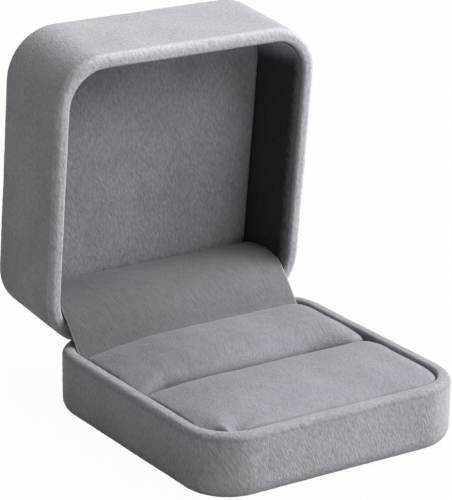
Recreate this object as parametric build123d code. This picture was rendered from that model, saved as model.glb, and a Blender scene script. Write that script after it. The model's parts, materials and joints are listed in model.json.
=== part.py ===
"""Velvet ring box with a hinged lid, modelled standing open.

Millimetres, +Z up. The origin is the centre of the underside, the front is -Y, and the lid turns about
an axis along X at the back. The lid's pieces are drawn shut and then turned to the open stop.
"""

from build123d import *
import math
import os

os.makedirs("parts", exist_ok=True)

# ---------------------------------------------------------------- driving dimensions
WIDTH = 63.0                # across, along X
DEPTH = 64.0                # shut box, front to back
CORNER_R = 10.8             # plan corners, at the velvet
BASE_H = 14.0               # floor to the base's rim
LID_H = 22.6                # lid rim to lid top
RIM_T = 2.8                 # rim band, shell and velvet together
VELVET_T = 0.4              # velvet glued over the shells
RIM_OUT_R = 1.4             # rounding of both rims, outside
RIM_IN_R = 0.6              # and inside
BASE_EDGE_R = 3.0           # rounding under the base
LID_EDGE_R = 1.5            # rounding round the lid's top
RIM_GAP = 0.4               # between the two rims when shut
OPEN_ANGLE = 84.1           # lid at its open stop
HINGE_Y = 29.75             # hinge axis, measured from the middle of the box
HINGE_Z = BASE_H + RIM_GAP / 2

# shells
FLOOR_T = 1.35              # plastic between a panel recess and the inside
STRIP_H = 8.0               # velvet turned in over the rim
RIM_BED_GAP = 0.25          # velvet round a panel lies this much behind the panel's face

# inset panels of the underside and of the lid's top
PANEL_T = 1.2
PANEL_CLIP = 6.5            # clipped corners
PANEL_SOFT = 2.5            # softening of the clipped corners
PANEL_SEAM = 0.15
BASE_PANEL_INSET = 4.4
LID_PANEL_INSET = 2.9
PANEL_EDGE_R = 0.45

# spine cloth and hinge
SPINE_HALF = 20.4           # the spine cloth covers the straight part of the back
SPINE_SEAM = 0.1
BEVEL_GAP = 0.2             # play of the bevelled rims behind the axis
BARREL_R = 1.5
PIN_R = 0.7
PIN_PLAY = 0.05
BARREL_ROOM = 1.7
HINGE_HALF = 16.0
LEAF_T = 0.6
LEAF_REACH = 9.2            # leaf, from the axis to its far edge
KNUCKLES_BASE = [(-16.0, -10.0), (-3.2, 3.2), (10.0, 16.0)]
KNUCKLES_LID = [(-9.8, -3.4), (3.4, 9.8)]
RIVET_R = 0.6
RIVET_HEAD_R = 1.1
RIVET_HEAD_T = 0.45
RIVET_DROP = 6.9            # rivets, from the axis
RIVETS_X = [-13.0, -6.6, 6.6, 13.0]
SPRING_W = 4.2
SPRING_T = 0.4
SPRING_TIP = 0.25           # between a spring's tip and its knuckle

# cushions
CARD_T = 0.8
COVER_T = 0.7               # cover and the glued fold under it
PAD_HALF = 28.2
PAD_WALL_GAP = 0.35         # between the front cushion and the front wall
SLOT_FRONT_Y = -2.75
SLOT_BACK_Y = 2.1
REAR_PAD_BACK_Y = 20.9
FRONT_CROWN = (14.9, 1.2)   # top of the crown, and its rise above the rolled edge
REAR_CROWN = (15.7, 1.9)
REAR_TILT = 2.0             # the rear cushion leans forward a little
PAD_DRAW_IN = 0.6           # how far the sides pull in between their corners
ROLL_R = 1.4                # rolled upper edge
ROLL_STEPS = 3
CROWN_RUN = 5.6             # the crown swells over this distance in from the roll
CROWN_STEPS = 3

# lid lining
CEILING_DROP = 9.15         # velvet ceiling, below the lid's top
LINING_FOOT = 15.4          # side lining starts here, just inside the rim
LINING_FOOT_INSET = 3.2     # its face there, from the lid's outside
LINING_TOP_INSET = 5.1      # and at the ceiling
CEILING_BACK = 9.0          # crease of the hinge cover on the ceiling, from the lid's back
LID_CARD_T = 1.0
LID_COVER_T = 0.6

# hinge cover and flap: their faces, from the hinge axis (y, z), with the lid open
COVER_T_CARD = 0.8
FLAP_FOLD = (4.2, 8.2)      # the flap turns here
FOLD_PLAY = 0.35            # bare cloth, each side of the fold
COVER_FACE = [(12.35, 8.0), (10.4, 8.75), (8.4, 9.0), (6.4, 8.8)]
FLAP_FACE = [(2.4, 7.75), (1.2, 7.05), (-0.6, 5.45), (-2.9, 2.95), (-5.3, -0.15), (-7.35, -2.63)]
COVER_HALF_TOP = 26.1
COVER_HALF_FOLD = 27.2


# ---------------------------------------------------------------- derived places
FLOOR_TOP = RIM_BED_GAP + VELVET_T + (PANEL_T - RIM_BED_GAP - VELVET_T) + FLOOR_T
LID_RIM_Z = BASE_H + RIM_GAP
LID_TOP_Z = LID_RIM_Z + LID_H
LID_ROOF_Z = LID_TOP_Z - PANEL_T - FLOOR_T
CEILING_Z = LID_TOP_Z - CEILING_DROP
PAD_FLOOR = FLOOR_TOP + CARD_T
SHELL_BACK_Y = DEPTH / 2 - RIM_T + VELVET_T


# ---------------------------------------------------------------- helpers
def outline(inset, z=0.0):
    """Plan outline of the box, a given distance inside its velvet."""
    return Pos(0, 0, z) * RectangleRounded(WIDTH - 2 * inset, DEPTH - 2 * inset, CORNER_R - inset)


def panel_outline(inset, z=0.0):
    """Plan outline of an inset panel: a rectangle with clipped, softened corners."""
    sheet = Rectangle(WIDTH - 2 * inset, DEPTH - 2 * inset)
    sheet = chamfer(sheet.vertices(), PANEL_CLIP)
    return Pos(0, 0, z) * fillet(sheet.vertices(), PANEL_SOFT)


def span(x, y, z):
    """Box from three (low, high) pairs."""
    size = [high - low for low, high in (x, y, z)]
    return Pos(*[(low + high) / 2 for low, high in (x, y, z)]) * Box(*size)


def rod(radius, x):
    """Cylinder along X on the hinge axis."""
    return Pos((x[0] + x[1]) / 2, HINGE_Y, HINGE_Z) * Rot(0, 90, 0) * Cylinder(radius, x[1] - x[0])


def beyond_bevel(side, gap):
    """What lies behind the 45 degree bevel of a back rim: side is 1 for the base, -1 for the lid."""
    size = 60.0
    reach = (size / 2 - gap / math.sqrt(2)) / math.sqrt(2)
    return Pos(0, HINGE_Y + reach, HINGE_Z + side * reach) * Rot(side * 45, 0, 0) * Box(2 * size, size, size)


def opened(piece):
    """Turn a piece of the lid from shut to the open stop."""
    return Pos(0, HINGE_Y, HINGE_Z) * Rot(-OPEN_ANGLE, 0, 0) * Pos(0, -HINGE_Y, -HINGE_Z) * piece


def shut_point(y, z):
    """A point given from the axis with the lid open, where it is with the lid shut."""
    turn = math.radians(OPEN_ANGLE)
    return (y * math.cos(turn) - z * math.sin(turn), y * math.sin(turn) + z * math.cos(turn))


def save(piece, name):
    piece.label = name
    export_step(piece, f"parts/{name}.step")


# ---------------------------------------------------------------- shells and their velvet
def tray(inset, height, cavity):
    """Plain open tray hanging below a rim at z = 0, a given distance inside the velvet's surface."""
    block = extrude(outline(inset, inset - height), height - 2 * inset)
    return block - extrude(outline(RIM_T - inset, -cavity), cavity + 1)


def velvet_tray(height, edge_r, cavity):
    """Tray with the soft, rounded edges of its velvet."""
    block = tray(0, height, cavity)
    block = fillet(block.edges().group_by(Axis.Z)[0], edge_r)
    rim = block.faces().sort_by(Axis.Z)[-1]
    block = fillet(rim.outer_wire().edges(), RIM_OUT_R)
    mouth = block.faces().sort_by(Axis.Z)[-1].inner_wires()[0].edges()
    return fillet(mouth, RIM_IN_R)


def moulded_tray(height, edge_r, cavity):
    """Tray with the chamfered edges that its mould gives it, under the velvet."""
    flat = 2 - math.sqrt(2)     # chamfer that touches a rounding, over the rounding's radius
    block = tray(VELVET_T, height, cavity)
    block = chamfer(block.edges().group_by(Axis.Z)[0], flat * (edge_r - VELVET_T))
    rim = block.faces().sort_by(Axis.Z)[-1]
    return chamfer(rim.outer_wire().edges(), flat * (RIM_OUT_R - VELVET_T))


def shell(height, edge_r, panel_inset):
    """Moulded shell: walls, a floor and the recess for its outer panel."""
    body = moulded_tray(height, edge_r, height + RIM_BED_GAP - PANEL_T - FLOOR_T)
    recess_top = PANEL_T - RIM_BED_GAP - height
    body -= extrude(panel_outline(panel_inset, recess_top), -PANEL_T)
    return body


def velvet(height, edge_r, panel_inset):
    """Velvet over a shell: outside, over the rim, down the inside, and under the far edge."""
    skin = velvet_tray(height, edge_r, STRIP_H) - moulded_tray(height, edge_r, STRIP_H)
    skin -= extrude(outline(RIM_T - VELVET_T, VELVET_T - height), height - VELVET_T - STRIP_H)
    skin -= extrude(outline(VELVET_T + RIM_T / 2, VELVET_T - height), height - STRIP_H)
    skin -= extrude(panel_outline(panel_inset, -height - 1), 3)
    return skin


def base_place(piece):
    return Pos(0, 0, BASE_H) * piece


def lid_place(piece):
    return Pos(0, 0, LID_RIM_Z) * mirror(piece, about=Plane.XY)


def hinge_room():
    return rod(BARREL_ROOM, (-HINGE_HALF - 0.3, HINGE_HALF + 0.3))


def rivet_holes(z):
    holes = Part()
    for x in RIVETS_X:
        holes += Pos(x, SHELL_BACK_Y, z) * Rot(90, 0, 0) * Cylinder(RIVET_R + PIN_PLAY, 3)
    return holes


def back_window(half, y_low=25.0):
    return span((-half, half), (y_low, DEPTH), (-1, LID_TOP_Z + 1))


def make_case(place, height, edge_r, panel_inset, side, rivet_z):
    """Shell, velvet wrap and spine cloth of the base (side 1) or of the lid (side -1)."""
    plastic = place(shell(height, edge_r, panel_inset))
    skin = place(velvet(height, edge_r, panel_inset)) - beyond_bevel(side, BEVEL_GAP)
    plastic_gap = BEVEL_GAP + VELVET_T * math.sqrt(2)
    # velvet on the bevel itself
    tray_solid = place(velvet_tray(height, edge_r, STRIP_H)) & back_window(WIDTH, HINGE_Y - 3)
    on_bevel = (tray_solid & beyond_bevel(side, plastic_gap)) - beyond_bevel(side, BEVEL_GAP)
    skin += on_bevel
    plastic = plastic - beyond_bevel(side, plastic_gap) - hinge_room() - rivet_holes(rivet_z)
    wrap = skin - back_window(SPINE_HALF + SPINE_SEAM)
    spine = (skin & back_window(SPINE_HALF, SHELL_BACK_Y + 0.3)) - hinge_room()
    return plastic, wrap, spine


def panel(inset):
    """Card and velvet of an inset panel, its face at z = 0 and its back at z = PANEL_T."""
    face = extrude(panel_outline(inset + PANEL_SEAM), PANEL_T)
    face = fillet(face.edges().group_by(Axis.Z)[0], PANEL_EDGE_R)
    card = extrude(panel_outline(inset + PANEL_SEAM + VELVET_T, VELVET_T), PANEL_T - VELVET_T)
    return card, face - card


# ---------------------------------------------------------------- hinge
def leaf(side, own, other):
    """Hinge leaf on the inner face of a back wall, with its knuckles."""
    edge = HINGE_Z - side * LEAF_REACH
    near = HINGE_Z - side * BARREL_R / 2
    plate = span((-HINGE_HALF, HINGE_HALF), (SHELL_BACK_Y - LEAF_T, SHELL_BACK_Y), sorted((edge, near)))
    corners = plate.edges().filter_by(Axis.Y).group_by(Axis.Z)[0 if side > 0 else -1]
    plate = fillet(corners, 1.5)
    for knuckle in other:
        plate -= rod(BARREL_ROOM, (knuckle[0] - 0.2, knuckle[1] + 0.2))
    for knuckle in own:
        plate += rod(BARREL_R, knuckle)
    plate -= rod(PIN_R + PIN_PLAY, (-HINGE_HALF - 1, HINGE_HALF + 1))
    return plate - rivet_holes(HINGE_Z - side * RIVET_DROP)


def hinge_pin():
    """Pin with chamfered ends, a little longer than the barrel."""
    pin = rod(PIN_R, (-HINGE_HALF - 0.2, HINGE_HALF + 0.2))
    return chamfer(pin.edges().filter_by(GeomType.CIRCLE), 0.25)


def snap_springs():
    """Two flat springs under the lid's knuckles, which they press when the lid moves."""
    strips = []
    foot = HINGE_Z - RIVET_DROP - 2.0
    tip = HINGE_Z - BARREL_R - SPRING_TIP
    front = SHELL_BACK_Y - LEAF_T
    for x in (RIVETS_X[1], RIVETS_X[2]):
        strip = span((x - SPRING_W / 2, x + SPRING_W / 2), (front - SPRING_T, front), (foot, tip))
        strip = fillet(strip.edges().filter_by(Axis.Y).group_by(Axis.Z)[0], 1.2)
        strips.append(strip - rivet_holes(HINGE_Z - RIVET_DROP))
    return Compound(children=strips)


def rivets(z, under):
    """Four rivets; under maps each rivet's place to what its head sits on, in front of the leaf."""
    made = []
    for x in RIVETS_X:
        seat = SHELL_BACK_Y - LEAF_T - under(x)
        head = Pos(x, seat - RIVET_HEAD_T / 2, z) * Rot(90, 0, 0) * Cylinder(RIVET_HEAD_R, RIVET_HEAD_T)
        head = chamfer(head.edges().group_by(Axis.Y)[0], 0.25)
        shank_end = SHELL_BACK_Y + 1.2
        shank = Pos(x, (seat + shank_end) / 2, z) * Rot(90, 0, 0) * Cylinder(RIVET_R, shank_end - seat)
        made.append(head + shank)
    return Compound(children=made)


# ---------------------------------------------------------------- cushions
def pad_section(half, front, back, front_r, back_r, draw, z, tilt):
    """One level of a cushion: a plan outline whose sides draw in between the corners."""
    middle = (front + back) / 2
    low, high = front - middle, back - middle
    arc = math.sqrt(0.5)
    edges = []
    edges += [Line((front_r - half, low), (half - front_r, low))]
    for s in (1, -1):
        edges += [
            ThreePointArc(
                (s * (half - front_r), low),
                (s * (half - front_r + front_r * arc), low + front_r - front_r * arc),
                (s * half, low + front_r),
            ),
            ThreePointArc(
                (s * half, low + front_r), (s * (half - draw), (low + high) / 2), (s * half, high - back_r)
            ),
            ThreePointArc(
                (s * half, high - back_r),
                (s * (half - back_r + back_r * arc), high - back_r + back_r * arc),
                (s * (half - back_r), high),
            ),
        ]
    edges += [Line((half - back_r, high), (back_r - half, high))]
    return Pos(0, middle, z) * Rot(tilt, 0, 0) * make_face(edges)


def pad_form(front, back, front_r, crown, tilt, shrink):
    """Crowned cushion, lofted from its foot through a rolled edge to a low crown."""
    top, rise = crown[0] - shrink, crown[1]
    levels = [(PAD_FLOOR, 0.5, 0.0), (PAD_FLOOR + 4, 0.0, 0.0)]
    for step in range(ROLL_STEPS + 1):
        turn = math.radians(90 * step / ROLL_STEPS)
        z = top - rise - ROLL_R * (1 - math.sin(turn))
        levels.append((z, ROLL_R * (1 - math.cos(turn)), tilt * (step + 1) / (ROLL_STEPS + 1)))
    for step in range(1, CROWN_STEPS + 1):
        share = step / CROWN_STEPS
        levels.append((top - rise * (1 - share) ** 2, ROLL_R + CROWN_RUN * share, tilt))
    sections = []
    for z, come_in, tilted in levels:
        inset = come_in + shrink
        near, far = front + inset, back - inset
        near_r = min(max(front_r - 0.5 * inset, 1.2), 0.4 * (far - near))
        far_r = min(1.2 + 0.3 * come_in, 0.4 * (far - near))
        sections.append(pad_section(PAD_HALF - inset, near, far, near_r, far_r, PAD_DRAW_IN, z, tilted))
    return loft(sections, ruled=True)


def cushion(front, back, front_r, crown, tilt):
    """Foam core, and the velvet cover that is open underneath where it is glued to the card."""
    foam = pad_form(front, back, front_r, crown, tilt, COVER_T)
    return foam, pad_form(front, back, front_r, crown, tilt, 0) - foam


def cushion_card():
    card = extrude(outline(RIM_T + 0.3, FLOOR_TOP), CARD_T)
    return card - span((-WIDTH, WIDTH), (REAR_PAD_BACK_Y, DEPTH), (0, BASE_H))


def slot_velvet():
    """Velvet strip at the bottom of the slot, between the two cushions."""
    half = PAD_HALF - 1
    return span((-half, half), (SLOT_FRONT_Y + 0.05, SLOT_BACK_Y - 0.05), (PAD_FLOOR, PAD_FLOOR + VELVET_T))


# ---------------------------------------------------------------- lid lining
def side_lining():
    """Padded strip round the lid's inside, leaning in towards the ceiling."""
    steep = (LINING_TOP_INSET - LINING_FOOT_INSET) / (CEILING_Z - LINING_FOOT)

    def face_outline(z):
        return outline(LINING_FOOT_INSET + steep * (z - LINING_FOOT), z)

    ring = extrude(outline(RIM_T + 0.02, LINING_FOOT), LID_ROOF_Z - LINING_FOOT)
    ring -= loft([face_outline(LINING_FOOT - 1), face_outline(LID_ROOF_Z + 1)], ruled=True)
    return ring - span((-WIDTH, WIDTH), (DEPTH / 2 - CEILING_BACK + 1.2, DEPTH), (0, LID_TOP_Z))


def lid_pad():
    """Card, foam and velvet of the ceiling; the velvet turns up round the foam to the card."""
    gap = 1.3
    inset = LINING_TOP_INSET + gap
    back = DEPTH / 2 - CEILING_BACK - 0.4

    def block(more, low, high):
        form = extrude(outline(inset + more, low), high - low)
        return form - span((-WIDTH, WIDTH), (back - more, DEPTH), (0, LID_TOP_Z))

    card = block(0.0, LID_ROOF_Z - LID_CARD_T, LID_ROOF_Z)
    foam = block(LID_COVER_T, CEILING_Z + LID_COVER_T, LID_ROOF_Z - LID_CARD_T)
    cover = block(-gap, CEILING_Z, CEILING_Z + LID_COVER_T) + block(0.0, CEILING_Z, LID_ROOF_Z - LID_CARD_T)
    lining = side_lining()
    return card, foam, cover - foam - lining


# ---------------------------------------------------------------- hinge cover and flap
def strip_between(face, half_start, half_end, shut):
    """Card strip along X behind a face line of (y, z) points; the line bends at its inner points."""
    points = [shut_point(*p) if shut else p for p in face]
    front = [Vector(0, HINGE_Y + y, HINGE_Z + z) for y, z in points]
    back = []
    for i, p in enumerate(front):
        run = front[min(i + 1, len(front) - 1)] - front[max(i - 1, 0)]
        inward = Vector(0, run.Z, -run.Y).normalized()
        back.append(p + inward * COVER_T_CARD)
    faces = make_face(Polyline(*front, *reversed(back), close=True))
    slab = extrude(faces, COVER_HALF_FOLD, both=True, dir=(1, 0, 0))
    if half_start != half_end:
        low, high = sorted((front[0].Z, front[-1].Z))
        far, near = (half_start, half_end) if front[0].Z > front[-1].Z else (half_end, half_start)
        sides = Polyline((-near, low - 1), (near, low - 1), (near, low), (far, high), (far, high + 1),
                         (-far, high + 1), (-far, high), (-near, low), close=True)
        slab &= extrude(Plane.XZ * make_face(sides), DEPTH, both=True)
    return slab


def beside_fold(towards):
    """Where a card's edge lies, a little short of the fold."""
    fold = Vector(*FLAP_FOLD)
    edge = fold + (Vector(*towards) - fold).normalized() * FOLD_PLAY
    return (edge.X, edge.Y)


def hinge_cover():
    """Upper half of the hinge cover, from the ceiling to its fold; drawn shut."""
    face = COVER_FACE + [beside_fold(COVER_FACE[-1])]
    return strip_between(face, COVER_HALF_TOP, COVER_HALF_FOLD, True)


def hinge_flap():
    """Lower half of the hinge cover, which hangs behind the rear cushion; drawn with the lid open."""
    face = [beside_fold(FLAP_FACE[0])] + FLAP_FACE
    return strip_between(face, COVER_HALF_FOLD, COVER_HALF_FOLD, False)


# ---------------------------------------------------------------- assembly
def main():
    base_rivet_z = HINGE_Z - RIVET_DROP
    lid_rivet_z = HINGE_Z + RIVET_DROP
    base_height = BASE_H - RIM_BED_GAP
    lid_height = LID_H - RIM_BED_GAP
    base = make_case(base_place, base_height, BASE_EDGE_R, BASE_PANEL_INSET, 1, base_rivet_z)
    lid = make_case(lid_place, lid_height, LID_EDGE_R, LID_PANEL_INSET, -1, lid_rivet_z)
    for piece, name in zip(base, ("base_shell", "base_velvet_wrap", "base_spine_cloth")):
        save(piece, name)
    for piece, name in zip(lid, ("lid_shell", "lid_velvet_wrap", "lid_spine_cloth")):
        save(opened(piece), name)

    card, face = panel(BASE_PANEL_INSET)
    save(card, "underside_card")
    save(face, "underside_velvet")
    card, face = [Pos(0, 0, LID_TOP_Z) * mirror(piece, about=Plane.XY) for piece in panel(LID_PANEL_INSET)]
    save(opened(card), "lid_top_card")
    save(opened(face), "lid_top_velvet")

    save(leaf(1, KNUCKLES_BASE, KNUCKLES_LID), "hinge_lower_leaf")
    save(opened(leaf(-1, KNUCKLES_LID, KNUCKLES_BASE)), "hinge_upper_leaf")
    save(hinge_pin(), "hinge_pin")
    save(snap_springs(), "snap_springs")
    save(rivets(base_rivet_z, lambda x: SPRING_T if abs(x) < HINGE_HALF / 2 else 0.0), "lower_leaf_rivets")
    save(opened(rivets(lid_rivet_z, lambda x: 0.0)), "upper_leaf_rivets")

    save(cushion_card(), "cushion_card")
    front_y = RIM_T + PAD_WALL_GAP - DEPTH / 2
    front_r = CORNER_R - RIM_T - PAD_WALL_GAP
    foam, cover = cushion(front_y, SLOT_FRONT_Y, front_r, FRONT_CROWN, 0.0)
    save(foam, "front_cushion_foam")
    save(cover, "front_cushion_cover")
    foam, cover = cushion(SLOT_BACK_Y, REAR_PAD_BACK_Y, 1.5, REAR_CROWN, REAR_TILT)
    save(foam, "rear_cushion_foam")
    save(cover, "rear_cushion_cover")
    save(slot_velvet(), "slot_velvet")

    save(opened(side_lining()), "lid_side_lining")
    card, foam, cover = lid_pad()
    save(opened(card), "lid_pad_card")
    save(opened(foam), "lid_pad_foam")
    save(opened(cover), "lid_pad_cover")
    save(opened(hinge_cover()), "hinge_cover")
    save(hinge_flap(), "hinge_flap")


main()
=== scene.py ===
"""Velvet ring box with a hinged lid: the finished look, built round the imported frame.

Laid out as an add-on with one operator for each group of pieces. Metres, in the frame's own axes: the
front is -Y and the box stands on z = 0 with its lid at the open stop. The lid's pieces are modelled shut
and then turned open.
"""

import json
import math

import bmesh
import bpy
from mathutils import Matrix, Vector


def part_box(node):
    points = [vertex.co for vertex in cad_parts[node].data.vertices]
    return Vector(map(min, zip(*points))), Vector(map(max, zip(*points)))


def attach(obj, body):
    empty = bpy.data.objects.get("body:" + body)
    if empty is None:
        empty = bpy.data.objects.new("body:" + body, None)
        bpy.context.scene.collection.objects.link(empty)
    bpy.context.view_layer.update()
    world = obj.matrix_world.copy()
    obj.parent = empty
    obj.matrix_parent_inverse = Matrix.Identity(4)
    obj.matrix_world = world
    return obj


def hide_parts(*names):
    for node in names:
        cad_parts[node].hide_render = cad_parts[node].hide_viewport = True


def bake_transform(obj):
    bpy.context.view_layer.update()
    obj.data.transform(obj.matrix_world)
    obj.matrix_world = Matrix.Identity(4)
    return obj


bl_info = {
    "name": "Velvet ring box",
    "version": (1, 0, 0),
    "blender": (4, 5, 0),
    "location": "3D View > Sidebar > Ring box",
    "description": "Velvet ring box with a hinged lid, slotted cushions and a padded lining",
    "category": "Object",
}

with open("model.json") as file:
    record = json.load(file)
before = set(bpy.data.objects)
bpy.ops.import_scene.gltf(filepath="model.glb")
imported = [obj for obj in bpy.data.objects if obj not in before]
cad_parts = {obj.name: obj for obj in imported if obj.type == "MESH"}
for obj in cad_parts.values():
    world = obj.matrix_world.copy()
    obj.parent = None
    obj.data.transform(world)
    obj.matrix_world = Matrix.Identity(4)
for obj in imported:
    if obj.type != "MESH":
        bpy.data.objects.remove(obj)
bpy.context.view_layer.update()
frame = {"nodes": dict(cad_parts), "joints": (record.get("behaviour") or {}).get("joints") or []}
MM = 0.001

# ------------------------------------------------------------------ places read from the frame
HINGE = Vector(frame["joints"][0]["pos_m"])
FOLD = Vector(frame["joints"][1]["pos_m"])
OPEN_ANGLE = math.radians(frame["joints"][0]["range_deg"][1])
WRAP_LOW, WRAP_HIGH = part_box("base_velvet_wrap")
HALF_X = WRAP_HIGH.x
HALF_Y = -WRAP_LOW.y
RIM_Z = WRAP_HIGH.z
OPEN_TURN = Matrix.Translation(HINGE) @ Matrix.Rotation(-OPEN_ANGLE, 4, "X") @ Matrix.Translation(-HINGE)
SHUT_TURN = OPEN_TURN.inverted()


def shut_box(node):
    """Lowest and highest corner of a lid node, with the lid shut."""
    points = [SHUT_TURN @ v.co for v in frame["nodes"][node].data.vertices]
    return [Vector([pick(p[i] for p in points) for i in range(3)]) for pick in (min, max)]


LID_RIM_Z = shut_box("lid_velvet_wrap")[0].z
CEILING_Z = shut_box("lid_pad_cover")[0].z
LID_ROOF_Z = shut_box("lid_pad_card")[1].z
# into the open lid, from its rim towards its ceiling
LID_INWARD = (OPEN_TURN.to_3x3() @ Vector((0, 0, 1))).normalized()

# ------------------------------------------------------------------ sizes of the velvet work
CORNER_R = 10.8 * MM
CORNER_STEPS = 12
OUTLINE_TOLERANCE = 0.2 * MM
RIM_T = 2.8 * MM
RIM_OUT_R = 1.4 * MM
RIM_IN_R = 0.6 * MM
BASE_EDGE_R = 3.0 * MM
LID_EDGE_R = 1.5 * MM
EDGE_ROOM = 3.2 * MM
BEVEL_PLAY = 0.14 * MM
BARREL_ROOM = 1.72 * MM
BARREL_HALF = 16.4 * MM
SPINE_HALF = 20.4 * MM
SPINE_PROUD = 0.12 * MM
# sine and cosine of the back rims' bevel, and the diagonal of a square beside it
SLANT = 0.7071
DIAGONAL = 1.414
# steps between the cuts of a mesh
CASE_STEP = 2.2 * MM
SOFT_STEP = 2.4 * MM
CUSHION_STEP = 2.3 * MM
CUSHION_RISE_STEP = 3.0 * MM
# height and size of the fine roughness that the pile gives a surface
CASE_PILE_SIZE = 0.55 * MM
LINING_PILE = (0.1 * MM, 0.7 * MM)
COVER_PILE = (0.1 * MM, 0.6 * MM)
CUSHION_PILE = (0.06 * MM, 0.6 * MM)
# height and size of the slow waves in a surface
CASE_WAVES = (0.12 * MM, 12 * MM)
CEILING_WAVES = (0.3 * MM, 14 * MM)
CUSHION_WAVE_SIZE = 6 * MM
# half widths of the hinge cover at its fold and at the ceiling
COVER_FOOT = 27.8 * MM
COVER_TOP = 26.3 * MM
# face of the hinge cover, from the ceiling down to its tip: (y, z) in millimetres from the hinge axis
COVER_LINE = (
    (12.9, 7.6), (11.7, 8.55), (9.7, 8.83), (8.1, 8.83), (6.2, 8.70), (4.2, 8.2), (2.26, 7.6), (1.1, 7.0),
    (0.1, 6.1), (-0.9, 5.05), (-2.1, 3.8), (-2.9, 2.9), (-3.7, 1.85), (-4.5, 0.85), (-5.5, -0.4),
    (-7.35, -2.6),
)
# how far the cushions' flat tops are let down: (axis, from, to, depth) in millimetres, each growing with
# the square of the way
SLOT_EDGE_FALL = (1, 9.5, 2.1, 3.0)
REAR_FALLS = ((0, -5.0, -28.2, 2.2), (0, 22.5, 28.5, 2.3), SLOT_EDGE_FALL, (1, 15.0, 20.9, 0.4))
FRONT_FALLS = (
    (0, -14.0, -28.2, 1.1), (0, 23.5, 28.5, 1.4), (1, -16.0, -28.85, 1.0), (1, -9.0, -2.75, 0.7),
)


# ------------------------------------------------------------------ settings that a user would change
def length_setting(name, description, default):
    return bpy.props.FloatProperty(
        name=name, description=description, default=default, unit="LENGTH", subtype="DISTANCE"
    )


def colour_setting(name, description, default):
    return bpy.props.FloatVectorProperty(
        name=name, description=description, default=default, subtype="COLOR", min=0, max=1
    )


class RingBoxCloth(bpy.types.PropertyGroup):
    pile: length_setting("Pile height", "How far the pile roughens the velvet's outline", 0.16 * MM)
    outer: colour_setting("Outer velvet", "Colour of the velvet outside", (0.395, 0.392, 0.418))
    cushion: colour_setting("Cushion velvet", "Colour of the velvet on the cushions", (0.29, 0.279, 0.31))
    lining: colour_setting("Lining velvet", "Colour of the lid's ceiling", (0.325, 0.318, 0.344))
    # the hinge cover and the side lining below are darker copies of the lining velvet above: painted shade,
    # nearly black on the side lining
    cover: colour_setting("Hinge cover velvet", "Colour of the hinge cover", (0.19, 0.185, 0.2))
    shade: colour_setting("Side lining velvet", "Colour round the lid's inside", (0.045, 0.042, 0.047))
    sheen: bpy.props.FloatProperty(
        name="Sheen", description="Strength of the pile's sheen at glancing angles", default=0.3, min=0, max=1
    )


class RingBoxCushions(bpy.types.PropertyGroup):
    roll: length_setting("Roll", "Radius of a cushion's rolled edge", 1.1 * MM)
    ripple: length_setting("Ripple", "Height of the slow unevenness of the padded tops", 0.3 * MM)


# ------------------------------------------------------------------ modelling helpers
def deselect():
    if bpy.context.object and bpy.context.object.mode != "OBJECT":
        bpy.ops.object.mode_set(mode="OBJECT")
    bpy.ops.object.select_all(action="DESELECT")


def activate(piece):
    deselect()
    piece.select_set(True)
    bpy.context.view_layer.objects.active = piece


def block(name, low, high):
    """A cube primitive from its lowest to its highest corner."""
    deselect()
    low, high = Vector(low), Vector(high)
    bpy.ops.mesh.primitive_cube_add(size=1, location=(low + high) / 2, scale=high - low)
    bpy.ops.object.transform_apply(location=True, rotation=True, scale=True)
    piece = bpy.context.object
    piece.name = piece.data.name = name
    return piece


class Editing:
    """Edit mode on one piece, where parts are picked by their place or direction."""

    KINDS = {"VERT": "verts", "EDGE": "edges", "FACE": "faces"}

    def __init__(self, piece):
        self.piece = piece

    def __enter__(self):
        activate(self.piece)
        bpy.ops.object.mode_set(mode="EDIT")
        return self

    def __exit__(self, *fault):
        bpy.ops.object.mode_set(mode="OBJECT")

    def pick(self, kind, test):
        bpy.ops.mesh.select_mode(type=kind)
        bpy.ops.mesh.select_all(action="DESELECT")
        mesh = bmesh.from_edit_mesh(self.piece.data)
        for item in getattr(mesh, self.KINDS[kind]):
            item.select_set(bool(test(item)))
        mesh.select_flush_mode()
        bmesh.update_edit_mesh(self.piece.data)

    def cut(self, at, normal, fill=False, drop=False):
        """Cut everything by a plane; drop removes what lies on the normal's side."""
        bpy.ops.mesh.select_mode(type="FACE")
        bpy.ops.mesh.select_all(action="SELECT")
        bpy.ops.mesh.bisect(plane_co=at, plane_no=normal, use_fill=fill, clear_outer=drop, threshold=1e-7)

    def cuts(self, axis, low, high, step):
        """Even cuts square to an axis."""
        count = max(1, round((high - low) / step))
        normal = Vector((0, 0, 0))
        normal[axis] = 1
        for i in range(count + 1):
            self.cut(normal * (low + (high - low) * i / count), normal)

    def plan_cuts(self, step, back=HALF_Y - CORNER_R):
        """Even cuts over the straight parts of the box's plan outline."""
        self.cuts(0, -HALF_X + CORNER_R, HALF_X - CORNER_R, step)
        self.cuts(1, -HALF_Y + CORNER_R, back, step)


def near(a, b, tolerance=1e-5):
    return abs(a - b) < tolerance


def share_of(value, start, end):
    """How far a value is on its way from start to end, 0 to 1; start may be the larger."""
    return min(max((value - start) / (end - start), 0), 1)


def line_length(points):
    return sum(math.dist(a, b) for a, b in zip(points, points[1:]))


def edge_middle(edge):
    return (edge.verts[0].co + edge.verts[1].co) / 2


def upright(edge):
    run = edge.verts[0].co - edge.verts[1].co
    return abs(run.z) > 0.9 * run.length


def at_height(edge, z):
    return all(near(v.co.z, z) for v in edge.verts)


def outside_of(inset):
    """Test for points on the box's plan outline, a given distance inside it."""
    half_x, half_y, radius = HALF_X - inset, HALF_Y - inset, CORNER_R - inset

    def test(p):
        x, y = abs(p.x), abs(p.y)
        cx, cy = x - (half_x - radius), y - (half_y - radius)
        if cx > 0 and cy > 0:
            return near(math.hypot(cx, cy), radius, OUTLINE_TOLERANCE)
        return near(x, half_x, OUTLINE_TOLERANCE) or near(y, half_y, OUTLINE_TOLERANCE)

    return test


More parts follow.
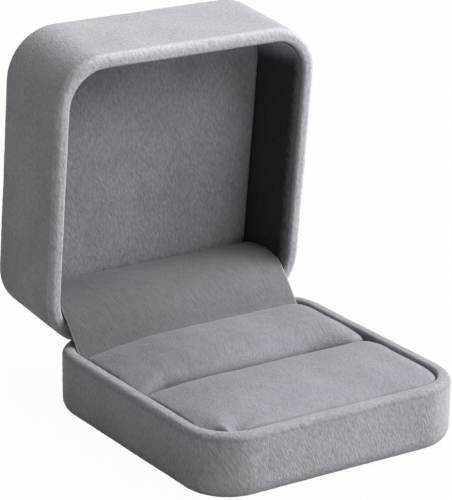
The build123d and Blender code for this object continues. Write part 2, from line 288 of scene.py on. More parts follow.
def apply_modifier(piece, kind, **settings):
    activate(piece)
    modifier = piece.modifiers.new(kind.title(), kind)
    for name, value in settings.items():
        setattr(modifier, name, value)
    bpy.ops.object.modifier_apply(modifier=modifier.name)


def finish_mesh(piece, levels=0):
    """Subdivide a piece and shade it smooth."""
    if levels:
        apply_modifier(piece, "SUBSURF", levels=levels, render_levels=levels)
    activate(piece)
    bpy.ops.object.shade_smooth()


def roughen(piece, height, size, depth=2):
    """Move the surface in and out by a noise of a given height and size."""
    noise = bpy.data.textures.new(piece.name + "_noise", "CLOUDS")
    noise.noise_scale = size
    noise.noise_depth = depth
    apply_modifier(piece, "DISPLACE", texture=noise, strength=height, mid_level=0.5, texture_coords="LOCAL")


def open_lid(piece):
    """Turn a piece that was modelled shut to the open stop."""
    piece.data.transform(OPEN_TURN)
    piece.data.update()


def finish_piece(piece, material, body, slot, *replaced):
    """Give a piece its material and body, and hide the CAD nodes that it replaces; the slot is not used, and
    a blended piece has no body of its own.
    """
    piece.data.materials.clear()
    piece.data.materials.append(material)
    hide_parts(*replaced)
    if body:
        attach(piece, body)


def rounded_block(name, inset, low, high, steps=CORNER_STEPS):
    """Block with the box's plan outline, a given distance inside it."""
    piece = block(name, (inset - HALF_X, inset - HALF_Y, low), (HALF_X - inset, HALF_Y - inset, high))
    with Editing(piece) as e:
        e.pick("EDGE", upright)
        bpy.ops.mesh.bevel(offset=CORNER_R - inset, segments=steps, affect="EDGES")
    return piece


# ------------------------------------------------------------------ materials
class Value:
    """A shader socket that takes arithmetic; an expression adds its Math nodes."""

    def __init__(self, graph, socket):
        self.graph = graph
        self.socket = socket

    def _math(self, operation, first, second):
        return self.graph.node("ShaderNodeMath", {"operation": operation}, {0: first, 1: second})

    def __add__(self, other):
        return self._math("ADD", self, other)

    def __radd__(self, other):
        return self._math("ADD", other, self)

    def __sub__(self, other):
        return self._math("SUBTRACT", self, other)

    def __mul__(self, other):
        return self._math("MULTIPLY", self, other)

    def __rmul__(self, other):
        return self._math("MULTIPLY", other, self)


class Graph:
    """The shader nodes of a material or of the world."""

    def __init__(self, owner):
        self.owner = owner
        owner.use_nodes = True
        self.tree = owner.node_tree
        self.tree.nodes.clear()

    def node(self, kind, settings=None, links=None, out=0):
        """Add a node: its settings first, then the values or links of its sockets."""
        node = self.tree.nodes.new(kind)
        for name, value in (settings or {}).items():
            setattr(node, name, value)
        for name, value in (links or {}).items():
            socket = self.enabled(node.inputs, name)
            if isinstance(value, Value):
                self.tree.links.new(value.socket, socket)
            else:
                socket.default_value = value
        return Value(self, self.enabled(node.outputs, out)) if node.outputs else None

    @staticmethod
    def enabled(sockets, name):
        """A socket by its place or name; a Mix node has one of each name for every data type, one in use."""
        if isinstance(name, int):
            return sockets[name]
        return next(socket for socket in sockets if socket.name == name and socket.enabled)

    def surface(self, shader, output="ShaderNodeOutputMaterial"):
        self.node(output, {}, {"Surface": shader})
        return self.owner

    def noise(self, place, scale, detail, **more):
        return self.node(
            "ShaderNodeTexNoise", {}, {"Vector": place, "Scale": scale, "Detail": detail, **more}
        )

    def axis(self, place, name):
        """One coordinate of a place."""
        return self.node("ShaderNodeSeparateXYZ", {}, {"Vector": place}, out=name)

    def along(self, place, direction):
        """How far a place lies in a direction."""
        return self.node(
            "ShaderNodeVectorMath", {"operation": "DOT_PRODUCT"}, {0: place, 1: direction}, out="Value"
        )

    def scaled(self, colour, factor):
        return self.node("ShaderNodeVectorMath", {"operation": "SCALE"}, {0: colour, "Scale": factor})

    def ramp(self, value, start, end, low=0.0, high=1.0, kind="SMOOTHSTEP"):
        """From low at start to high at end; start may be the larger."""
        return self.node(
            "ShaderNodeMapRange", {"interpolation_type": kind},
            {"Value": value, "From Min": start, "From Max": end, "To Min": low, "To Max": high},
        )

    def mixed(self, share, first, second):
        """The first colour where the share is 0, and the second where it is 1."""
        return self.node(
            "ShaderNodeMix", {"data_type": "RGBA"}, {"Factor": share, "A": first, "B": second}, out="Result"
        )

    def seen_directly(self):
        """1 for rays that reach the camera straight or by a mirror or glass, and 0 for the others."""
        return sum(
            (self.node("ShaderNodeLightPath", out=kind) for kind in ("Is Glossy Ray", "Is Transmission Ray")),
            self.node("ShaderNodeLightPath", out="Is Camera Ray"),
        )


# directions of the nap, as turns about X, Y and Z in radians
NAP_OUTER = (-0.24, -0.4, 0.0)
NAP_INNER = (0.25, -0.4, 0.2)
NAP_COVER = (-0.78, -0.51, 0.0)
NAP_CUSHION = (-1.13, 0.78, 0.0)
NAP_STRETCH = 7.0
# noise scales
PILE_SCALE = 3600.0
NAP_SCALE = 3100.0
PATCH_SCALE = 90.0
DRIFT_SCALE = 60.0
RIM_EDGE_SCALE = 1800.0
SIDE_EDGE_SCALE = 700.0
PILE_BUMP = 0.28 * MM
# how much lighter the velvet is painted over a rim, as a painted highlight; below 0 it is painted darker, as
# painted shade
BASE_RIM_PAINTED_SHADE = -0.18
LID_RIM_PAINTED_HIGHLIGHT = 0.28
SIDE_SHEEN = 0.05
# colour of the painted highlight along the hinge cover's sides
PAINTED_EDGE_HIGHLIGHT = (0.5, 0.49, 0.49, 1.0)


def velvet(name, colour, sheen, nap_turn, grain=0.45, streak=0.95, patch=0.3, shading=None):
    """Short cut pile: a fine grain, streaks along the brushing of the nap, and broad soft patches."""
    g = Graph(bpy.data.materials.new(name))
    place = g.node("ShaderNodeTexCoord", out="Object")
    pile = g.noise(place, PILE_SCALE, 3.0, Roughness=0.6)
    slanted = g.node(
        "ShaderNodeMapping", {"vector_type": "TEXTURE"},
        {"Vector": place, "Rotation": nap_turn, "Scale": (1.0, 1.0, NAP_STRETCH)},
    )
    nap = g.noise(slanted, NAP_SCALE, 2.0, Distortion=0.4)
    patches = g.noise(place, PATCH_SCALE, 2.0)
    tone = 1.0 + grain * (pile - 0.5) + streak * (nap - 0.5) + patch * (patches - 0.5)
    if shading:
        colour = shading(g, place, colour)
    bump = g.node(
        "ShaderNodeBump", {}, {"Height": pile * 0.5 + nap * 0.5, "Strength": 0.6, "Distance": PILE_BUMP}
    )
    shader = g.node(
        "ShaderNodeBsdfPrincipled", {},
        {
            "Base Color": g.scaled(colour, tone), "Roughness": 0.85 + 0.15 * pile, "Normal": bump,
            "Specular IOR Level": 0.12, "Sheen Weight": sheen, "Sheen Roughness": 0.35,
            "Sheen Tint": (0.95, 0.95, 1.0, 1.0),
        },
    )
    return g.surface(shader)


def plain(name, colour, roughness, metallic=0.0, size=900.0, vary=0.12):
    """Plastic, board or metal with a slight mottle."""
    g = Graph(bpy.data.materials.new(name))
    place = g.node("ShaderNodeTexCoord", out="Object")
    mottle = g.noise(place, size, 4.0)
    bump = g.node("ShaderNodeBump", {}, {"Height": mottle, "Strength": 0.2, "Distance": 0.05 * MM})
    shader = g.node(
        "ShaderNodeBsdfPrincipled", {},
        {
            "Base Color": g.scaled(colour, 1 + vary * (mottle - 0.5)), "Metallic": metallic,
            "Roughness": roughness + 0.1 * (mottle - 0.5), "Normal": bump,
        },
    )
    return g.surface(shader)


def cloth_material(name, colour, nap_turn, sheen=None, **settings):
    """Velvet in one of the box's colours, made the first time it is asked for."""
    cloth = bpy.context.scene.ring_box_cloth
    if sheen is None:
        sheen = cloth.sheen
    known = bpy.data.materials.get(name)
    return known or velvet(name, getattr(cloth, colour), sheen, nap_turn, **settings)


def painted_rim_light(rim, inward, gain):
    """Painted light over a rim, given by a point of it and the way into the case: a painted highlight where
    the gain is above 0 and painted shade where it is below.
    """
    faded, full, ragged = 1.8 * MM, 1.1 * MM, 0.9 * MM

    def shading(g, place, colour):
        edge = ragged * (g.noise(place, RIM_EDGE_SCALE, 2.0) - 0.5)
        depth = g.along(place, inward) - rim.dot(inward) + edge
        return g.scaled(colour, 1 + gain * g.ramp(depth, faded, full))

    return shading


def outer_velvet():
    return cloth_material("velvet_outer", "outer", NAP_OUTER)


def base_velvet():
    # the base's outer velvet, with painted shade over its rim
    shading = painted_rim_light(Vector((0, 0, RIM_Z)), Vector((0, 0, -1)), BASE_RIM_PAINTED_SHADE)
    return cloth_material("velvet_base", "outer", NAP_OUTER, shading=shading)


def lid_velvet():
    # the lid's outer velvet, with a painted highlight over its rim
    shading = painted_rim_light(OPEN_TURN @ Vector((0, 0, LID_RIM_Z)), LID_INWARD, LID_RIM_PAINTED_HIGHLIGHT)
    return cloth_material("velvet_lid", "outer", NAP_OUTER, shading=shading)


def lining_velvet():
    return cloth_material("velvet_lining", "lining", NAP_INNER, patch=0.4)


def cushion_velvet():
    """Velvet of the cushions, which darkens towards the left: painted shade."""
    dark, left, right, drift = 0.72, -24 * MM, 5 * MM, 8 * MM

    def painted_shade_to_left(g, place, colour):
        wander = drift * (g.noise(place, DRIFT_SCALE, 1.0) - 0.5)
        # painted shade: the cushions' tops darker towards the left
        lit = g.ramp(g.along(place, (0.9, -0.45, 0)) + wander, left, right)
        return g.mixed(lit, (*(dark * c for c in colour), 1.0), (*colour, 1.0))

    return cloth_material(
        "velvet_cushion", "cushion", NAP_CUSHION, grain=0.35, streak=0.6, shading=painted_shade_to_left
    )


def cover_velvet():
    """Velvet of the hinge cover, painted lighter towards its right and its top, with a pale painted highlight
    along its sides.
    """
    left, right, dark, light = -12 * MM, 46 * MM, 0.74, 1.08
    highlight_starts, highlight_full = 0.5 * MM, 0.15 * MM

    def painted_cover_light(g, place, colour):
        x, y = g.axis(place, "X"), g.axis(place, "Y")
        half = g.ramp(y, FOLD.y, HINGE.y + COVER_LINE[0][0] * MM, COVER_FOOT, COVER_TOP, "LINEAR")
        inside = half - g.node("ShaderNodeMath", {"operation": "ABSOLUTE"}, {0: x})
        # painted light: the cover lighter towards its right and towards the ceiling
        slanted = g.scaled(colour, g.ramp(x + 0.8 * y, left, right, dark, light))
        # painted highlight: a pale band along both sides of the cover
        return g.mixed(g.ramp(inside, highlight_starts, highlight_full, kind="LINEAR"), slanted, PAINTED_EDGE_HIGHLIGHT)

    return cloth_material("velvet_cover", "cover", NAP_COVER, grain=0.4, streak=0.6, shading=painted_cover_light)


def side_velvet():
    """Velvet of the side lining, dark as painted shade, with painted light under the top wall and a painted
    highlight in a ragged band at the rim.
    """
    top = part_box("lid_side_lining")[1].z
    foot = (OPEN_TURN @ Vector((0, 0, shut_box("lid_side_lining")[0].z))).dot(LID_INWARD)
    lining = bpy.context.scene.ring_box_cloth.lining
    ragged = 2.0 * MM

    def painted_side_light(g, place, colour):
        # painted light under the top wall
        upper = g.ramp(g.axis(place, "Z"), top - 9.5 * MM, top - 3.0 * MM)
        edge = ragged * (g.noise(place, SIDE_EDGE_SCALE, 3.0) - 0.5)
        # painted highlight in a ragged band at the rim
        painted_rim_band = g.ramp(g.along(place, LID_INWARD) - foot + edge, 2.4 * MM, 0.2 * MM, high=0.55)
        paler = g.node("ShaderNodeMath", {"operation": "MAXIMUM"}, {0: upper, 1: painted_rim_band})
        # the side lining's dark colour is painted shade; the painted light mixes it towards the lining colour
        return g.mixed(paler, (*colour, 1.0), (*lining, 1.0))

    return cloth_material("velvet_side", "shade", NAP_INNER, sheen=SIDE_SHEEN, shading=painted_side_light)


# ------------------------------------------------------------------ the two wrapped cases
def tray(name, rim_z, far_z, edge_r, depth):
    """Closed tray with a rounded plan, a rounded rim and a rounded far edge; rim_z may lie under far_z."""
    up = 1 if rim_z > far_z else -1
    low, high = min(rim_z, far_z), max(rim_z, far_z)
    piece = rounded_block(name, 0.0, low, high)
    outer, inner = outside_of(0.0), outside_of(RIM_T)
    with Editing(piece) as e:
        e.pick("FACE", lambda f: f.normal.z * up > 0.9)
        bpy.ops.mesh.inset(thickness=RIM_T)
        bpy.ops.mesh.extrude_region_move(TRANSFORM_OT_translate={"value": (0, 0, -up * depth)})
        e.pick("EDGE", lambda d: at_height(d, rim_z) and all(outer(v.co) for v in d.verts))
        bpy.ops.mesh.bevel(offset=RIM_OUT_R, segments=5, affect="EDGES")
        e.pick("EDGE", lambda d: at_height(d, rim_z) and all(inner(v.co) for v in d.verts))
        bpy.ops.mesh.bevel(offset=RIM_IN_R, segments=3, affect="EDGES")
        e.pick("EDGE", lambda d: at_height(d, far_z))
        bpy.ops.mesh.bevel(offset=edge_r, segments=6, affect="EDGES")
        e.plan_cuts(CASE_STEP)
        e.cuts(2, low + EDGE_ROOM, high - EDGE_ROOM, CASE_STEP)
    return piece


def finish_tray(piece, side, height):
    """Pile on the outline, then the back rim's bevel and the room for the hinge barrel."""
    finish_mesh(piece, levels=2)
    roughen(piece, height, CASE_PILE_SIZE)
    roughen(piece, *CASE_WAVES, depth=1)
    with Editing(piece) as e:
        normal = Vector((0, 1, side)).normalized()
        e.cut(HINGE - normal * BEVEL_PLAY, normal, fill=True, drop=True)
        bpy.ops.mesh.quads_convert_to_tris()
    deselect()
    bpy.ops.mesh.primitive_cylinder_add(
        vertices=32, radius=BARREL_ROOM, depth=2 * BARREL_HALF, location=HINGE, rotation=(0, math.pi / 2, 0)
    )
    room = bpy.context.object
    apply_modifier(piece, "BOOLEAN", operation="DIFFERENCE", object=room, solver="EXACT")
    bpy.data.objects.remove(room)
    activate(piece)
    bpy.ops.object.shade_smooth_by_angle(angle=math.radians(50))


class RINGBOX_OT_base_case(bpy.types.Operator):
    """Velvet over the base's shell, outside, over the rim and down the inside"""

    bl_idname = "ringbox.base_case"
    bl_label = "Base case"

    def execute(self, context):
        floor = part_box("cushion_card")[0].z
        piece = tray("base_wrap", RIM_Z, WRAP_LOW.z, BASE_EDGE_R, RIM_Z - floor)
        finish_tray(piece, 1, context.scene.ring_box_cloth.pile)
        finish_piece(piece, base_velvet(), "base", "outer_velvet", "base_velvet_wrap")
        return {"FINISHED"}


class RINGBOX_OT_lid_case(bpy.types.Operator):
    """Velvet over the lid's shell"""

    bl_idname = "ringbox.lid_case"
    bl_label = "Lid case"

    def execute(self, context):
        far_z = shut_box("lid_velvet_wrap")[1].z
        piece = tray("lid_wrap", LID_RIM_Z, far_z, LID_EDGE_R, LID_ROOF_Z - LID_RIM_Z)
        finish_tray(piece, -1, context.scene.ring_box_cloth.pile)
        open_lid(piece)
        finish_piece(piece, lid_velvet(), "lid", "outer_velvet", "lid_velvet_wrap")
        return {"FINISHED"}


# ------------------------------------------------------------------ strips that follow a profile
def strip(name, profile, half, thickness, step=1.2 * MM, shape=None):
    """Cloth strip along X: a profile of (y, z) points swept between -half and half, and thickened."""
    deselect()
    bpy.ops.mesh.primitive_plane_add(size=1, location=(0, 0, 0))
    piece = bpy.context.object
    piece.name = piece.data.name = name
    with Editing(piece) as e:
        e.pick("VERT", lambda v: v.co.y > 0)
        bpy.ops.mesh.delete(type="VERT")
        mesh = bmesh.from_edit_mesh(piece.data)
        mesh.verts.ensure_lookup_table()
        for v, side in zip(sorted(mesh.verts, key=lambda v: v.co.x), (-1, 1)):
            v.co = Vector((side * half, profile[0][0], profile[0][1]))
        bmesh.update_edit_mesh(piece.data)
        bpy.ops.mesh.select_mode(type="EDGE")
        bpy.ops.mesh.select_all(action="SELECT")
        bpy.ops.mesh.subdivide(number_cuts=round(2 * half / step) - 1)
        for (y0, z0), (y1, z1) in zip(profile, profile[1:]):
            bpy.ops.mesh.extrude_region_move(TRANSFORM_OT_translate={"value": (0, y1 - y0, z1 - z0)})
        bpy.ops.mesh.select_all(action="SELECT")
        bpy.ops.mesh.normals_make_consistent(inside=False)
    if shape:
        for v in piece.data.vertices:
            v.co = shape(v.co)
    apply_modifier(piece, "SOLIDIFY", thickness=thickness, offset=0)
    return piece


def smooth_line(points, steps):
    """Points of a smooth line through the given (y, z) points."""
    line = []
    last = len(points) - 1
    for i in range(last):
        a, b, c, d = (points[min(max(k, 0), last)] for k in (i - 1, i, i + 1, i + 2))
        for j in range(steps):
            t = j / steps
            line.append(tuple(
                0.5 * (2 * q + (r - p) * t + (2 * p - 5 * q + 4 * r - s) * t * t
                       + (3 * q - p - 3 * r + s) * t ** 3)
                for p, q, r, s in zip(a, b, c, d)
            ))
    return line + [points[last]]


class RINGBOX_OT_hinge_cover(bpy.types.Operator):
    """Velvet card from the lid's ceiling down behind the rear cushion, which hides the hinge"""

    bl_idname = "ringbox.hinge_cover"
    bl_label = "Hinge cover"

    def execute(self, context):
        thickness = 0.7 * MM
        # from the card's face to its middle
        back, down = 0.5 * thickness * 0.6, 0.5 * thickness * 0.8
        line = smooth_line([(HINGE.y + y * MM, HINGE.z + z * MM) for y, z in COVER_LINE], 3)

        def narrowed(p):
            x = p.x * (1 + (COVER_TOP / COVER_FOOT - 1) * share_of(p.y, FOLD.y, line[0][0]))
            return Vector((x, p.y + back, p.z - down))

        piece = strip("hinge_cover_cloth", line, COVER_FOOT, thickness, shape=narrowed)
        finish_mesh(piece, levels=1)
        roughen(piece, *COVER_PILE)
        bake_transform(piece)
        length = line_length(line)
        finish_piece(piece, cover_velvet(), None, "lining_velvet", "hinge_cover", "hinge_flap")
        return {"FINISHED"}


class RINGBOX_OT_spine(bpy.types.Operator):
    """One velvet strip over the back of the base and the lid, folded in at the hinge"""

    bl_idname = "ringbox.spine"
    bl_label = "Spine cloth"

    def execute(self, context):
        thickness, step = 0.2 * MM, 2.0 * MM
        edge_steps = 6
        clear, seam_gap = 0.05 * MM, 0.2 * MM
        back = HALF_Y - HINGE.y + SPINE_PROUD
        tuck = (BARREL_ROOM + 0.08 * MM) / math.cos(OPEN_ANGLE / 2)
        across = BEVEL_PLAY - 0.02 * MM

        def half_line(edge_z, seam_y, edge_r, side):
            """From the panel seam round the far edge and up the back to the bevel, with the lid shut.

            Side is 1 for the base and -1 for the lid.
            """
            turns = [math.pi / 2 * i / edge_steps for i in range(edge_steps + 1)]
            rounded = [
                (
                    HALF_Y + SPINE_PROUD - edge_r + edge_r * math.sin(a),
                    edge_z + side * (edge_r - edge_r * math.cos(a)),
                )
                for a in turns
            ]
            bevel_out = (HINGE.y + back, HINGE.z - side * (back + across * DIAGONAL))
            bevel_in = (HINGE.y + (tuck - across) * SLANT, HINGE.z - side * (tuck + across) * SLANT)
            return [(seam_y, edge_z), *rounded, bevel_out, bevel_in]

        base_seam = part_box("underside_velvet")[1].y
        base_half = half_line(WRAP_LOW.z - clear, base_seam + seam_gap, BASE_EDGE_R, 1)
        far_z = shut_box("lid_velvet_wrap")[1].z
        lid_seam = shut_box("lid_top_velvet")[1].y
        lid_half = half_line(far_z + clear, lid_seam + seam_gap, LID_EDGE_R, -1)
        lid_half = [tuple((OPEN_TURN @ Vector((0, y, z)))[1:]) for y, z in lid_half]
        profile = base_half + lid_half[::-1]
        piece = strip("spine_cloth", profile, SPINE_HALF, thickness, step=step)
        finish_mesh(piece)
        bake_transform(piece)
        length = line_length(profile)
        finish_piece(piece, outer_velvet(), None, "outer_velvet", "base_spine_cloth", "lid_spine_cloth")
        return {"FINISHED"}


# ------------------------------------------------------------------ inset panels
def clipped_panel(name, low, high, rise):
    """Velvet-covered board with clipped corners and softened edges; rise is 1 if it faces up, else -1."""
    clip, soft, edge = 6.5 * MM, 2.5 * MM, 0.45 * MM
    half_turn = math.radians(22.5)
    piece = block(name, low, high)
    face_z = low.z if rise < 0 else high.z
    with Editing(piece) as e:
        e.pick("EDGE", upright)
        bpy.ops.mesh.bevel(offset=clip, segments=1, affect="EDGES")
        e.pick("EDGE", upright)
        bpy.ops.mesh.bevel(offset=soft * math.tan(half_turn), segments=4, affect="EDGES")
        e.pick("EDGE", lambda d: at_height(d, face_z))
        bpy.ops.mesh.bevel(offset=edge, segments=4, affect="EDGES")
        span_x, span_y = high.x - clip - soft, high.y - clip - soft
        e.cuts(0, -span_x, span_x, SOFT_STEP)
        e.cuts(1, -span_y, span_y, SOFT_STEP)
    finish_mesh(piece, levels=1)
    return piece


class RINGBOX_OT_panels(bpy.types.Operator):
    """Velvet-covered boards inset in the underside and in the lid's top"""

    bl_idname = "ringbox.panels"
    bl_label = "Inset panels"

    def execute(self, context):
        under = clipped_panel("underside_panel", *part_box("underside_velvet"), -1)
        finish_piece(under, outer_velvet(), "base", "outer_velvet", "underside_velvet")
        top = clipped_panel("lid_top_panel", *shut_box("lid_top_velvet"), 1)
        roughen(top, *LINING_PILE)
        open_lid(top)
        finish_piece(top, outer_velvet(), "lid", "outer_velvet", "lid_top_velvet")
        return {"FINISHED"}


# ------------------------------------------------------------------ lid lining
class RINGBOX_OT_lid_lining(bpy.types.Operator):
    """Padded strip round the lid's inside, and its padded ceiling"""

    bl_idname = "ringbox.lid_lining"
    bl_label = "Lid lining"

    def execute(self, context):
        foot_inset, top_inset, play = 3.2 * MM, 5.1 * MM, 0.05 * MM
        end_room = 1.5 * MM
        cloth_t, pad_edge = 0.35 * MM, 1.0 * MM

        low, high = shut_box("lid_side_lining")
        lining = rounded_block("lid_side_padding", foot_inset, low.z, high.z)
        with Editing(lining) as e:
            e.pick("FACE", lambda f: abs(f.normal.z) > 0.9)
            bpy.ops.mesh.delete(type="FACE")
            e.cut((0, 0, CEILING_Z), (0, 0, 1))
            e.pick("VERT", lambda v: v.co.z > CEILING_Z - 1e-5)
            narrow = [(half - top_inset) / (half - foot_inset) for half in (HALF_X, HALF_Y)]
            bpy.ops.transform.resize(value=(*narrow, 1), center_override=(0, 0, 0))
            e.plan_cuts(SOFT_STEP)
            e.cuts(2, low.z + end_room, CEILING_Z - end_room, SOFT_STEP)
            e.cut((0, high.y, 0), (0, 1, 0), drop=True)
            bpy.ops.mesh.select_all(action="SELECT")
            bpy.ops.mesh.flip_normals()
        apply_modifier(lining, "SOLIDIFY", thickness=cloth_t, offset=-1)
        finish_mesh(lining, levels=1)
        roughen(lining, *LINING_PILE)
        open_lid(lining)
        finish_piece(lining, side_velvet(), "lid", "lining_velvet", "lid_side_lining")

        low, high = shut_box("lid_pad_cover")
        pad = rounded_block("lid_ceiling_padding", top_inset + play, low.z, high.z, steps=8)
        with Editing(pad) as e:
            e.cut((0, high.y, 0), (0, 1, 0), fill=True, drop=True)
            e.pick("EDGE", lambda d: at_height(d, low.z))
            bpy.ops.mesh.bevel(offset=pad_edge, segments=4, affect="EDGES")
            e.plan_cuts(SOFT_STEP, back=high.y - end_room)
        finish_mesh(pad, levels=1)
        roughen(pad, *LINING_PILE)
        roughen(pad, *CEILING_WAVES, depth=1)
        open_lid(pad)
        finish_piece(pad, lining_velvet(), "lid", "lining_velvet", "lid_pad_cover", "lid_pad_foam")
        return {"FINISHED"}


# ------------------------------------------------------------------ cushions
def let_down(p, falls):
    """How far a cushion's top is let down at a place."""
    return sum(depth * MM * share_of(p[axis] / MM, start, end) ** 2 for axis, start, end, depth in falls)


def cushion(name, node, front_r, back_r, roll, falls):
    """Cushion a little wider than its CAD solid, with rounded corners, a let-down top and drawn-in ends."""
    widened, drawn_in, room = 0.3 * MM, 0.2 * MM, 1.0 * MM
    low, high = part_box(node)
    low, high = low - Vector((widened, 0, 0)), high + Vector((widened, 0, 0))
    piece = block(name, low, high)
    with Editing(piece) as e:
        e.pick("EDGE", lambda d: upright(d) and edge_middle(d).y < low.y + 1e-4)
        bpy.ops.mesh.bevel(offset=front_r, segments=6, affect="EDGES")
        e.pick("EDGE", lambda d: upright(d) and edge_middle(d).y > high.y - 1e-4)
        bpy.ops.mesh.bevel(offset=back_r, segments=3, affect="EDGES")
        e.pick("EDGE", lambda d: at_height(d, high.z))
        bpy.ops.mesh.bevel(offset=roll, segments=3, affect="EDGES")
        corner = max(front_r, back_r)
        e.cuts(0, low.x + corner + room, high.x - corner - room, CUSHION_STEP)
        e.cuts(1, low.y + front_r + room, high.y - back_r - room, CUSHION_STEP)
        e.cuts(2, low.z + 2 * room, high.z - roll - room, CUSHION_RISE_STEP)
    finish_mesh(piece, levels=2)
    middle, reach = (low + high) / 2, (high - low) / 2
    for v in piece.data.vertices:
        u, w = (v.co.x - middle.x) / reach.x, (v.co.y - middle.y) / reach.y
        up = (v.co.z - low.z) / (high.z - low.z)
        v.co.z -= up * let_down(v.co, falls)
        v.co.x -= drawn_in * u * (1 - w * w) * up
    return piece


def close_slot_ends(piece):
    """The rear cushion's cover is drawn forward over both ends of the slot, where its front edge stays up."""
    low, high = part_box("rear_cushion_cover")
    for v in piece.data.vertices:
        x = v.co.x / MM
        ahead = share_of(v.co.y, low.y + 3.5 * MM, low.y)
        up = share_of(v.co.z, low.z, high.z)
        # each in two terms: for the left end and for the right end, from and to a place in millimetres
        forward = min(5.1 * share_of(x, -20.3, -27.2) ** 1.3, 4.4) + 4.2 * share_of(x, 15.0, 24.5) ** 1.2
        kept_up = 0.62 * share_of(x, -14.0, -22.0) + share_of(x, 17.0, 27.5) ** 2
        v.co.z += kept_up * up * let_down(v.co, [SLOT_EDGE_FALL])
        v.co.y -= forward * MM * ahead ** 0.7 * up


def gather_corner(piece):
    """Gathers where the front cushion's cover is tucked in at its left front corner."""
    tuck = Vector((-26.0, -30.6)) * MM
    height, reach, folds = 0.85 * MM, 8.5 * MM, 6.0
    for v in piece.data.vertices:
        away = Vector(v.co.xy) - tuck
        fade = math.exp(-((away.length / reach) ** 2))
        v.co.z += height * fade * math.sin(math.atan2(away.y, away.x) * folds)


class RINGBOX_OT_cushions(bpy.types.Operator):
    """The two foam cushions, with the slot for the ring between them"""

    bl_idname = "ringbox.cushions"
    bl_label = "Cushions"

    def execute(self, context):
        settings = context.scene.ring_box_cushions
        front_roll = settings.roll * 0.7
        front = cushion("front_cushion", "front_cushion_cover", 7.2 * MM, 0.5 * MM, front_roll, FRONT_FALLS)
        gather_corner(front)
        rear = cushion("rear_cushion", "rear_cushion_cover", 0.8 * MM, 1.6 * MM, settings.roll, REAR_FALLS)
        close_slot_ends(rear)
        for piece, node in ((front, "front_cushion"), (rear, "rear_cushion")):
            roughen(piece, settings.ripple, CUSHION_WAVE_SIZE, depth=1)
            finish_mesh(piece, levels=1)
            roughen(piece, *CUSHION_PILE)
            finish_piece(piece, cushion_velvet(), "base", "cushion_velvet", node + "_cover", node + "_foam")
        return {"FINISHED"}


# ------------------------------------------------------------------ carried-over CAD nodes
class RINGBOX_OT_hardware(bpy.types.Operator):
    """Finishes of the shells, boards, hinge and the velvet in the slot"""

    bl_idname = "ringbox.hardware"
    bl_label = "Shells, boards and hinge"

    def execute(self, context):
        plastic = plain("finish_plastic", (0.075, 0.075, 0.08), 0.5)
        board = plain("finish_board", (0.22, 0.2, 0.17), 0.85, size=1400.0, vary=0.3)
        steel = plain("finish_steel", (0.6, 0.6, 0.61), 0.32, metallic=1.0, size=2500.0)
        finishes = {
            plastic: ["base_shell", "lid_shell"],
            board: ["underside_card", "cushion_card", "lid_top_card", "lid_pad_card"],
            steel: ["hinge_lower_leaf", "hinge_upper_leaf", "hinge_pin", "snap_springs", "lower_leaf_rivets",
                    "upper_leaf_rivets"],
            cushion_velvet(): ["slot_velvet"],
        }
        for finish, names in finishes.items():
            for name in names:
                node = frame["nodes"][name]
                node.data.materials.clear()
                node.data.materials.append(finish)
        return {"FINISHED"}


# ------------------------------------------------------------------ floor, light and camera
# soft boxes: name, turn to the right from the front and elevation in degrees, power in watts
LAMPS = (("key", 35, 40, 5.9), ("right", 75, 35, 15.2), ("top", 0, 89, 1.1), ("back", 180, 60, 3.4))
LAMP_SIZE = 0.6
LAMP_DISTANCE = 1.1
LAMP_AIM = Vector((0, 0, 0.03))
WORLD_STRENGTH = 0.12
FLOOR_GLOW = 0.97
# turn, elevation and roll of the camera in degrees
CAMERA_ANGLES = (-33.84, 19.05, 0.76)
CAMERA_PLACE = Vector((-275.2, -399.5, 205.2)) * MM
CAMERA_LENS = 182.95
SENSOR_HEIGHT = 36


def direction(turn, rise):
    """Unit vector at a turn to the right from the front and an elevation, in radians."""
    return Vector((math.sin(turn) * math.cos(rise), -math.cos(turn) * math.cos(rise), math.sin(rise)))


class RINGBOX_OT_stage(bpy.types.Operator):
    """Pale floor, soft studio light and the camera"""

    bl_idname = "ringbox.stage"
    bl_label = "Floor, light and camera"

    def execute(self, context):
        deselect()
        bpy.ops.mesh.primitive_plane_add(size=6, location=(0, 0, 0))
        floor = context.object
        floor.name = "floor"
        g = Graph(bpy.data.materials.new("pale_floor"))
        paper = g.node("ShaderNodeBsdfDiffuse", {}, {"Color": (0.48, 0.48, 0.48, 1)})
        glow = g.node("ShaderNodeEmission", {}, {"Color": (1, 1, 1, 1), "Strength": 1.0})
        both = g.node("ShaderNodeMixShader", {}, {0: g.seen_directly() * FLOOR_GLOW, 1: paper, 2: glow})
        floor.data.materials.append(g.surface(both))

        g = Graph(bpy.data.worlds.new("studio"))
        dim = g.node("ShaderNodeBackground", {}, {"Color": (0.94, 0.96, 1.0, 1), "Strength": WORLD_STRENGTH})
        white = g.node("ShaderNodeBackground", {}, {"Color": (1, 1, 1, 1), "Strength": 1.0})
        sky = g.node("ShaderNodeMixShader", {}, {0: g.seen_directly(), 1: dim, 2: white})
        context.scene.world = g.surface(sky, "ShaderNodeOutputWorld")

        for name, turn, rise, power in LAMPS:
            aim = direction(math.radians(turn), math.radians(rise))
            light = bpy.data.lights.new(name, "AREA")
            light.size = LAMP_SIZE
            light.energy = power
            lamp = bpy.data.objects.new(name, light)
            context.scene.collection.objects.link(lamp)
            lamp.location = LAMP_AIM + LAMP_DISTANCE * aim
            lamp.rotation_euler = (-aim).to_track_quat("-Z", "Y").to_euler()

        add_camera(context)
        context.scene.view_settings.view_transform = "Standard"
        return {"FINISHED"}


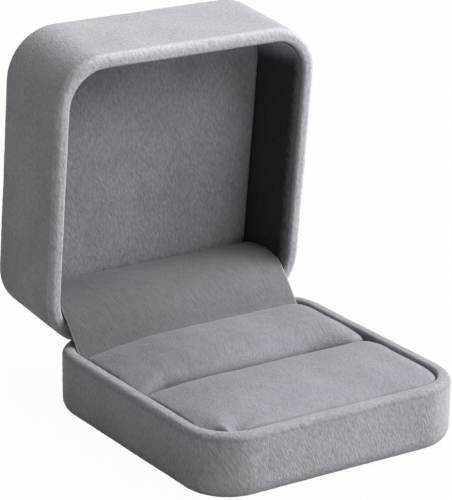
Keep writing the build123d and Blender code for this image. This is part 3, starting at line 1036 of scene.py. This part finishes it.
def add_camera(context):
    """Camera at the photograph's viewing angle."""
    turn, rise, roll = (math.radians(a) for a in CAMERA_ANGLES)
    back = direction(turn, rise)
    right = Vector((math.cos(turn), math.sin(turn), 0))
    up = back.cross(right)
    right, up = (
        right * math.cos(roll) + up * math.sin(roll),
        up * math.cos(roll) - right * math.sin(roll),
    )
    lens = bpy.data.cameras.new("camera")
    lens.sensor_fit = "VERTICAL"
    lens.sensor_height = SENSOR_HEIGHT
    lens.lens = CAMERA_LENS
    lens.clip_start = 0.01
    camera = bpy.data.objects.new("camera", lens)
    rotation = Matrix((right, up, back)).transposed().to_4x4()
    camera.matrix_world = Matrix.Translation(CAMERA_PLACE) @ rotation
    context.scene.collection.objects.link(camera)
    context.scene.camera = camera


# ------------------------------------------------------------------ panel, registration, run
class RINGBOX_PT_panel(bpy.types.Panel):
    """Lists the sizes, colours and steps of the ring box"""

    bl_idname = "RINGBOX_PT_panel"
    bl_label = "Ring box"
    bl_space_type = "VIEW_3D"
    bl_region_type = "UI"
    bl_category = "Ring box"

    def draw(self, context):
        for group in (context.scene.ring_box_cloth, context.scene.ring_box_cushions):
            for name in group.__annotations__:
                self.layout.prop(group, name)
        for step in STEPS:
            self.layout.operator(step.bl_idname)


STEPS = (
    RINGBOX_OT_base_case, RINGBOX_OT_lid_case, RINGBOX_OT_spine, RINGBOX_OT_panels, RINGBOX_OT_lid_lining,
    RINGBOX_OT_hinge_cover, RINGBOX_OT_cushions, RINGBOX_OT_hardware, RINGBOX_OT_stage,
)
GROUPS = (("ring_box_cloth", RingBoxCloth), ("ring_box_cushions", RingBoxCushions))


def register():
    for name, group in GROUPS:
        bpy.utils.register_class(group)
        setattr(bpy.types.Scene, name, bpy.props.PointerProperty(type=group))
    for step in (*STEPS, RINGBOX_PT_panel):
        bpy.utils.register_class(step)


def unregister():
    for step in (*STEPS, RINGBOX_PT_panel):
        bpy.utils.unregister_class(step)
    for name, group in GROUPS:
        delattr(bpy.types.Scene, name)
        bpy.utils.unregister_class(group)


def main():
    register()
    for step in STEPS:
        group, name = step.bl_idname.split(".")
        getattr(getattr(bpy.ops, group), name)()
    deselect()


if __name__ == "__main__":
    main()
